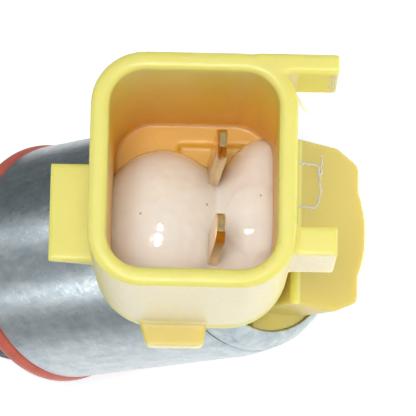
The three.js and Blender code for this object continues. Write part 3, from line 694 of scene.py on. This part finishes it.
def bead(path, radius, up, ragged):
    """A thin, ragged ridge along a path, on a face whose normal is up, tapered at its ends."""
    sides = 8
    rings = []
    for k, point in enumerate(path):
        after = path[min(k + 1, len(path) - 1)]
        before = path[max(k - 1, 0)]
        side = up.cross(after - before).normalized()
        taper = 0.25 if k in (0, len(path) - 1) else 1.0
        thickness_or_painted_shade = radius * taper * (1 + ragged * noise.noise(point * 3.7))
        ring = []
        for step in range(sides):
            angle = 2 * math.pi * step / sides
            ring.append(point + side * (thickness_or_painted_shade * math.cos(angle)) + up * (thickness_or_painted_shade * math.sin(angle)))
        rings.append(ring)
    return loft(rings)


def along(corners, spacing, wander):
    """Points about that far apart from corner to corner, wandering a little off the straight line."""
    points = []
    for start, end in zip(corners, corners[1:]):
        count = max(2, round((end - start).length / spacing))
        points += [start.lerp(end, k / count) for k in range(count)]
    points.append(corners[-1])
    return [p + wander * noise.noise_vector(p * 2.3) for p in points]


def rear_flash():
    """Flash lines that the mould's insert leaves on the rear face of the slab."""
    face = BLOCK_REAR_X - 0.02

    def line(corners, wander, radius, ragged):
        path = along([Vector((face, y, z)) for y, z in corners], 0.12, wander)
        return bead([Vector((face, p.y, p.z)) for p in path], radius, OUT_OF_BLOCK, ragged)

    insert = [
        (-4.67, 0.95), (-4.83, -0.9), (-4.75, -1.45), (-2.9, -1.75),
        (-1.75, -1.5), (-1.35, -1.1), (-1.1, 0.85),
    ]
    smear = [(-5.9, -1.8), (-4.9, -1.95), (-3.7, -1.9)]
    return [line(insert, 0.12, 0.07, 0.7), line(smear, 0.3, 0.06, 0.9)]


def floor_line():
    """The bright line where the socket's wall meets the lands on its floor, on the +V side: a thin bead
    painted pale as a painted highlight.
    """
    inset = WALL + 0.22
    outline = rounded_rect(HALF_U - inset, HALF_V - inset, CAVITY_CORNER, 16)
    upper = [p for p in outline if p.y > 3.4]
    path = [Vector((upper[0].x, 3.2)), *upper, Vector((upper[-1].x, 3.2))]
    w = FLOOR_W + 0.47
    return bead([Vector((p.x, p.y, w)) for p in path], 0.05, OUT_OF_MOUTH, 0.5)


def torn_sliver():
    """A sliver of flash hanging from the upper rib, with a barb on its end."""
    outline = [
        (7.45, 6.8), (7.78, 6.55), (8.12, 5.98), (8.4, 5.62), (8.57, 5.8), (8.64, 5.7),
        (8.55, 5.38), (8.5, 5.12), (8.28, 5.4), (7.92, 5.85), (7.62, 6.35),
    ]
    return prism(outline, RIM_W - 4.4, RIM_W - 4.25, 2)


def rib_scuffs():
    """Fine ridges across the upper rib's end, where its gate was broken off."""
    face_v = UPPER_RIB_V - 0.015
    first_u = 10.1
    spacing = 0.16
    ridges = []
    for k in range(4):
        u = first_u + spacing * k
        path = [Vector((u, face_v, RIM_W - 0.7)), Vector((u + 0.05, face_v, RIM_W - 6.2))]
        ridges.append(bead(along(path, 0.3, 0.06), 0.04, SIDEWAYS, 0.8))
    return ridges


def flash_and_highlight_paleness(u, v, w, normal):
    """Flash is stressed and pale where it's in the open; in the cavity, less so: there the floor's line
    is paled a little as a painted highlight.
    """
    return 0.3 if in_cavity(u, v, w) else 0.9


def add_flash():
    """All the flash, and the floor's line painted pale as a painted highlight, as one piece on the
    moulding.
    """
    socket_side = join([floor_line(), torn_sliver(), *rib_scuffs()])
    socket_side.transform(CONNECTOR)
    piece = object_of("mould_flash_and_highlight_line", join([socket_side, *rear_flash()]))
    # the same painted cavity light on the floor's line
    mark(piece, "painted_cavity_light", socket_depth)
    # pale flash, and the floor's line as a painted highlight
    mark(piece, "flash_pale_and_highlight", flash_and_highlight_paleness)
    finish_piece(piece, MATERIALS["yellow_plastic"], "yellow_plastic", "housing")


def potting_height(u, v):
    """The resin's surface over the floor: two swells run together, the right one leaning outwards."""
    def swell(middle_u, middle_v, half_u, half_v, lean, rise):
        du = (u - middle_u) * math.cos(lean) - (v - middle_v) * math.sin(lean)
        dv = (u - middle_u) * math.sin(lean) + (v - middle_v) * math.cos(lean)
        reach = 1 - (du / half_u) ** 2 - (dv / half_v) ** 2
        return rise * math.sqrt(reach) if reach > 0 else 1.6 * rise * reach

    left = swell(-2.4, -1.2, 5.3, 6.4, 0, 5.0)
    right = swell(4.4, -0.3, 3.3, 6.7, math.radians(12), 3.7)
    lobe = swell(4.8, -0.9, 2.3, 2.9, 0, 0.8) + 3.1
    spill = swell(0.5, 2.6, 1.2, 1.5, 0, 1.6)
    pool = 1.9 - 1.1 * max(v - 0.5, 0)
    softness = 0.3
    whole = softness * math.log(sum(math.exp(h / softness) for h in (left, right, lobe, spill, pool)))
    wobble = 0.12 * noise.noise(Vector((u * 0.45, v * 0.45, 3.1)))
    ripple = 0.05 * noise.noise(Vector((u * 1.3, v * 1.3, 8.7)))
    return max(whole + wobble + ripple, -0.6)


def resin_film(u, v, w, normal):
    """How thin the resin lies: most at the floor, and a little more so against the end walls."""
    by_wall = abs(u) > 6.05
    return 0.75 * (1 - (w - FLOOR_W) / 1.3) + 0.35 * by_wall


def add_potting():
    """A closed sheet over the floor, in rings that shrink from the cavity's outline to its middle."""
    rings = 64
    into_wall = 0.05
    half_u = HALF_U - WALL + into_wall
    half_v = HALF_V - WALL + into_wall
    outline = finely(rounded_rect(half_u, half_v, CAVITY_CORNER, 14), 0.25)
    top = []
    for k in range(rings):
        scale = 1 - k / rings
        ring = [(p.x * scale, p.y * scale) for p in outline]
        top.append([(u, v, FLOOR_W + potting_height(u, v)) for u, v in ring])
    bottom = [(p.x, p.y, FLOOR_W - 0.7) for p in outline]
    mesh = loft([bottom] + top)
    piece = object_of("potting_fill", mesh, CONNECTOR, sharp=math.radians(70))
    mark(piece, "thin", resin_film)
    finish_piece(piece, MATERIALS["potting_resin"], "potting_resin", "housing", "potting")


def add_blade(name, node, side):
    """A stamped blade: coined edges along its length and a tip ground down on all four sides."""
    half_width = 1.15
    half_thick = 0.4
    tip_half_width = 0.54
    length = 18.6
    coining = 0.1

    def section(half_u, half_v, w):
        return [(u, v, w) for u, v in rounded_rect(half_u, half_v, coining, 3)]

    mesh = loft([
        section(half_thick, half_width, -length),
        section(half_thick, half_width, -1.9),
        section(half_thick - 0.03, half_width - 0.08, -1.3),
        section(half_thick - 0.08, tip_half_width + 0.1, -0.25),
        section(half_thick - 0.14, tip_half_width, 0),
    ])
    place = Matrix.Translation((BLADE_TIP_U, side * BLADE_HALF_PITCH, BLADE_TIP_W))
    mesh.transform(place @ Matrix.Rotation(BLADE_LEAN, 4, "Y"))
    piece = object_of(name, mesh, CONNECTOR)
    finish_piece(piece, MATERIALS["brass"], "brass", "housing", node)


add_connector()
add_flash()
add_potting()
add_blade("terminal_left", "blade_left", 1)
add_blade("terminal_right", "blade_right", -1)

# ---- Can, end bell and O-ring ------------------------------------------------------------------


def below_connector(mesh):
    """The mesh cut off by the plane of the connector's base."""
    through = CONNECTOR @ Vector((0, 0, BASE_W + 0.5))
    normal = CONNECTOR.to_3x3() @ Vector((0, 0, 1))
    everything = mesh.verts[:] + mesh.edges[:] + mesh.faces[:]
    bmesh.ops.bisect_plane(mesh, geom=everything, plane_co=through, plane_no=normal, clear_outer=True)
    rim = [edge for edge in mesh.edges if edge.is_boundary]
    bmesh.ops.holes_fill(mesh, edges=rim)
    bmesh.ops.recalc_face_normals(mesh, faces=mesh.faces)
    return mesh


def add_can():
    """The drawn can: its front boss, its short front skirt, its two screw holes and its rolled rear."""
    wall = 0.7
    inside = CAN_RADIUS - wall
    boss_bore = 2.1
    boss_radius = 2.9
    boss_x = CAN_FRONT_X + 1
    skirt_bore = 8.3
    skirt_x = CAN_FRONT_X + 0.6
    roll_x = CROSSING_X - 4.1  # where the wall starts to turn in
    rear_x = CROSSING_X - 6.0
    rear_radius = 9.76
    profile = filleted([
        (boss_x, boss_bore, 0), (boss_x, boss_radius, 0.15), (CAN_FRONT_X, boss_radius, 0.2),
        (CAN_FRONT_X, skirt_bore, 0), (skirt_x, skirt_bore, 0.1), (skirt_x, CAN_RADIUS, 0.35),
        (roll_x, CAN_RADIUS, 0.5), (rear_x, rear_radius, 0.2), (rear_x, inside, 0.1),
        (CAN_FRONT_X - wall, inside, 0.3), (CAN_FRONT_X - wall, boss_bore, 0),
    ])
    hole_radius = 0.85
    hole_offset = 5
    back, front = CAN_FRONT_X - 2, CAN_FRONT_X + 2
    holes = []
    for side in (1, -1):
        hole = revolve([(back, 0), (back, hole_radius), (front, hole_radius), (front, 0)], 32)
        hole.transform(Matrix.Translation((0, side * hole_offset, 0)))
        holes.append(hole)
    piece = object_of("can_shell", below_connector(cut(revolve(profile), holes)))
    finish_piece(piece, MATERIALS["zinc_plated"], "zinc_plated", "housing", "motor_can")


def add_end_bell():
    """The end bell behind the can's rolled edge, with three stake marks pressed into its shoulder."""
    front = CROSSING_X - 6.08
    bore = 8.24
    seat_radius = 9.2
    seat_x = front + 1.4
    outline = filleted([
        (front, seat_radius, 0), (front, 9.7, 0.38), (front - 0.9, 9.6, 0.8),
        (LIP_X + 0.5, 9.1, 0.7), (LIP_X, 8.65, 0.3), (LIP_X, bore, 0.18),
        (seat_x, bore, 0), (seat_x, seat_radius, 0),
    ], 7)
    mesh = revolve(finely(outline, 0.12), 360)
    shoulder_radius = 9.0
    first_stake = 14.6  # degrees round the axis
    stake_x = front - 0.85
    stake_deep = 0.3
    stake_long = 0.95
    stake_wide = 0.3
    stake_skew = 0.35
    for vertex in mesh.verts:
        x, y, z = vertex.co
        radius = math.hypot(y, z)
        if radius < shoulder_radius:
            continue
        for turn in range(3):
            middle = math.radians(first_stake + 120 * turn)
            offset = (math.atan2(z, y) - middle + math.pi) % (2 * math.pi) - math.pi
            along_rim = offset * radius / stake_long
            across = (x - stake_x) / stake_wide - stake_skew * along_rim
            press = stake_deep * math.exp(-along_rim ** 2 - across ** 2)
            vertex.co.y -= press * y / radius
            vertex.co.z -= press * z / radius
    piece = object_of("bell_rim", below_connector(mesh), sharp=math.radians(50))
    finish_piece(piece, MATERIALS["zinc_plated"], "zinc_plated", "housing", "end_bell")


def add_o_ring():
    """A moulded ring with the fine parting line that its mould leaves around it."""
    section = (highest("o_ring").x - lowest("o_ring").x) / 2
    middle = (highest("o_ring").x + lowest("o_ring").x) / 2
    orbit = highest("o_ring").y - section
    parting_depth = 0.03
    profile = []
    steps = 40
    for k in range(steps):
        angle = 2 * math.pi * k / steps
        on_parting_line = k % (steps // 2) == steps // 4
        radius = section - (parting_depth if on_parting_line else 0)
        profile.append((middle + radius * math.cos(angle), orbit + radius * math.sin(angle)))
    piece = object_of("seal_ring", revolve(profile), sharp=math.radians(60))
    finish_piece(piece, MATERIALS["red_silicone"], "red_silicone", "housing", "o_ring")


add_can()
add_end_bell()
add_o_ring()

# ---- Gearbox ---------------------------------------------------------------------------------


def refined(name, node, slot, body, edge_mm=0.1):
    """A CAD node's shape with its edges broken and its round faces made smooth."""
    mesh = bmesh.new()
    mesh.from_mesh(frame["nodes"][node].data)
    mesh.transform(Matrix.Scale(1 / MM, 4))
    bmesh.ops.remove_doubles(mesh, verts=mesh.verts, dist=1e-4)
    bmesh.ops.dissolve_limit(mesh, angle_limit=math.radians(1), verts=mesh.verts, edges=mesh.edges)
    mesh = evaluated(mesh, [("BEVEL", {
        "width": edge_mm, "segments": 2, "limit_method": "ANGLE", "angle_limit": math.radians(32),
    })])
    piece = object_of(name, mesh, sharp=math.radians(28))
    finish_piece(piece, MATERIALS[slot], slot, body, node)


refined("adapter_shell", "gearbox_adapter", "black_plastic", "housing", 0.15)
refined("gear_case", "ring_gear", "dark_steel", "housing", 0.06)
refined("flange_plate", "front_flange", "steel", "housing", 0.12)
refined("output_spindle", "output_shaft", "steel", "output_carrier", 0.1)
refined("circlip", "retaining_ring", "dark_steel", "output_carrier", 0.05)
for number in (1, 2, 3):
    refined(f"cover_screw_head_{number}", f"cover_screw_{number}", "steel", "housing", 0.04)

# ---- Stage, in metres ------------------------------------------------------------------------

LIT_POINT = Vector((-0.04, 0, 0.01))  # what the lights are turned to
POOL_CENTRE = (-0.017, -0.009)
POOL_BRIGHT = 0.045  # the floor's pool of light is full out to this distance
POOL_EDGE = 0.15  # and gone at this one
FLOOR_REACH = 1.5
FLOOR_GAP = 0.0001  # between the floor and the lowest point of the object


def add_sheet(name, corners):
    """A flat four-cornered sheet, without a material yet."""
    data = bpy.data.meshes.new(name)
    data.from_pydata(corners, [], [(0, 1, 2, 3)])
    sheet = bpy.data.objects.new(name, data)
    bpy.context.scene.collection.objects.link(sheet)
    return sheet


def add_floor():
    """A pale sheet that gives off light in a pool around the object, so that shadows stay faint."""
    reach = FLOOR_REACH
    z = cad_low.z - FLOOR_GAP
    corners = [(-reach, -reach, z), (reach, -reach, z), (reach, reach, z), (-reach, reach, z)]
    floor = add_sheet("floor", corners)
    finish = Finish("floor_paper", Roughness=0.9, Specular_IOR_Level=0.1, Emission_Strength=0.54)
    away = finish.node("ShaderNodeVectorMath", {
        0: finish.coordinates, 1: (*POOL_CENTRE, z),
    }, operation="DISTANCE").outputs["Value"]
    pool = finish.node("ShaderNodeMapRange", {
        "Value": away, "From Min": POOL_BRIGHT, "From Max": POOL_EDGE, "To Min": 1.0, "To Max": 0.0,
    }, interpolation_type="SMOOTHSTEP").outputs["Result"]
    grain = finish.ramp(finish.noise(40, 2), [(0.3, (0.90, 0.90, 0.90)), (0.7, (0.94, 0.94, 0.94))])
    finish.set("Base Color", grain)
    finish.set("Emission Color", finish.mix(pool, (0.04, 0.04, 0.04), (1.0, 1.0, 1.0)))
    floor.data.materials.append(finish.material)


def add_area_light(name, towards, distance, size, power):
    """A square soft box that far from the object, in the direction given, turned to face it."""
    data = bpy.data.lights.new(name, "AREA")
    data.size = size
    data.energy = power
    light = bpy.data.objects.new(name, data)
    direction = Vector(towards).normalized()
    light.location = LIT_POINT + direction * distance
    light.rotation_mode = "QUATERNION"
    light.rotation_quaternion = (-direction).to_track_quat("-Z", "Y")
    bpy.context.scene.collection.objects.link(light)


def add_flag():
    """A dark card beside the object, seen only in reflections: it gives the can its dark flank."""
    y = cad_low.y - 0.016
    foot = cad_low.z
    top = foot + 0.050
    behind = cad_low.x - 0.02
    ahead = 0.10
    corners = [(behind, y, foot), (ahead, y, foot), (ahead, y, top), (behind, y, top)]
    flag = add_sheet("flag", corners)
    for rays in ("camera", "diffuse", "transmission", "shadow", "volume_scatter"):
        setattr(flag, f"visible_{rays}", False)
    finish = Finish("flag_cloth", Roughness=1.0, Specular_IOR_Level=0.0)
    greys = [(0.3, (0.22, 0.235, 0.24)), (0.7, (0.27, 0.285, 0.29))]
    finish.set("Base Color", finish.ramp(finish.noise(1.0, 3), greys))
    flag.data.materials.append(finish.material)


def add_world():
    """A studio sky, dimmer towards one side as if beside a dark wall."""
    world = bpy.data.worlds.new("studio")
    bpy.context.scene.world = world
    world.use_nodes = True
    tree = world.node_tree
    background = tree.nodes["Background"]
    direction = tree.nodes.new("ShaderNodeTexCoord")
    height = tree.nodes.new("ShaderNodeVectorMath")
    height.operation = "DOT_PRODUCT"
    height.inputs[1].default_value = (0.22, 0.52, 0.83)
    spread = tree.nodes.new("ShaderNodeMapRange")
    spread.inputs["From Min"].default_value = -0.5
    ramp = tree.nodes.new("ShaderNodeValToRGB")
    tree.links.new(direction.outputs["Generated"], height.inputs[0])
    tree.links.new(height.outputs["Value"], spread.inputs["Value"])
    tree.links.new(spread.outputs["Result"], ramp.inputs["Fac"])
    tree.links.new(ramp.outputs["Color"], background.inputs["Color"])
    elements = ramp.color_ramp.elements
    elements[0].position, elements[0].color = 0.1, (0.13, 0.138, 0.142, 1)
    elements[1].position, elements[1].color = 0.9, (0.50, 0.50, 0.50, 1)
    middle = elements.new(0.5)
    middle.color = (0.36, 0.372, 0.38, 1)
    background.inputs["Strength"].default_value = 1.0


add_floor()
add_world()
add_area_light("key", towards=(-0.67, 0.12, 0.73), distance=0.35, size=0.09, power=0.70)
add_area_light("front_left", towards=(0.707, -0.203, 0.676), distance=0.6, size=0.12, power=0.17)
add_area_light("front_right", towards=(0.707, 0.484, 0.514), distance=0.6, size=0.12, power=0.24)
add_area_light("side", towards=(-0.40, 0.88, 0.25), distance=0.5, size=0.30, power=0.06)
add_flag()
bpy.context.scene.view_settings.view_transform = "Standard"
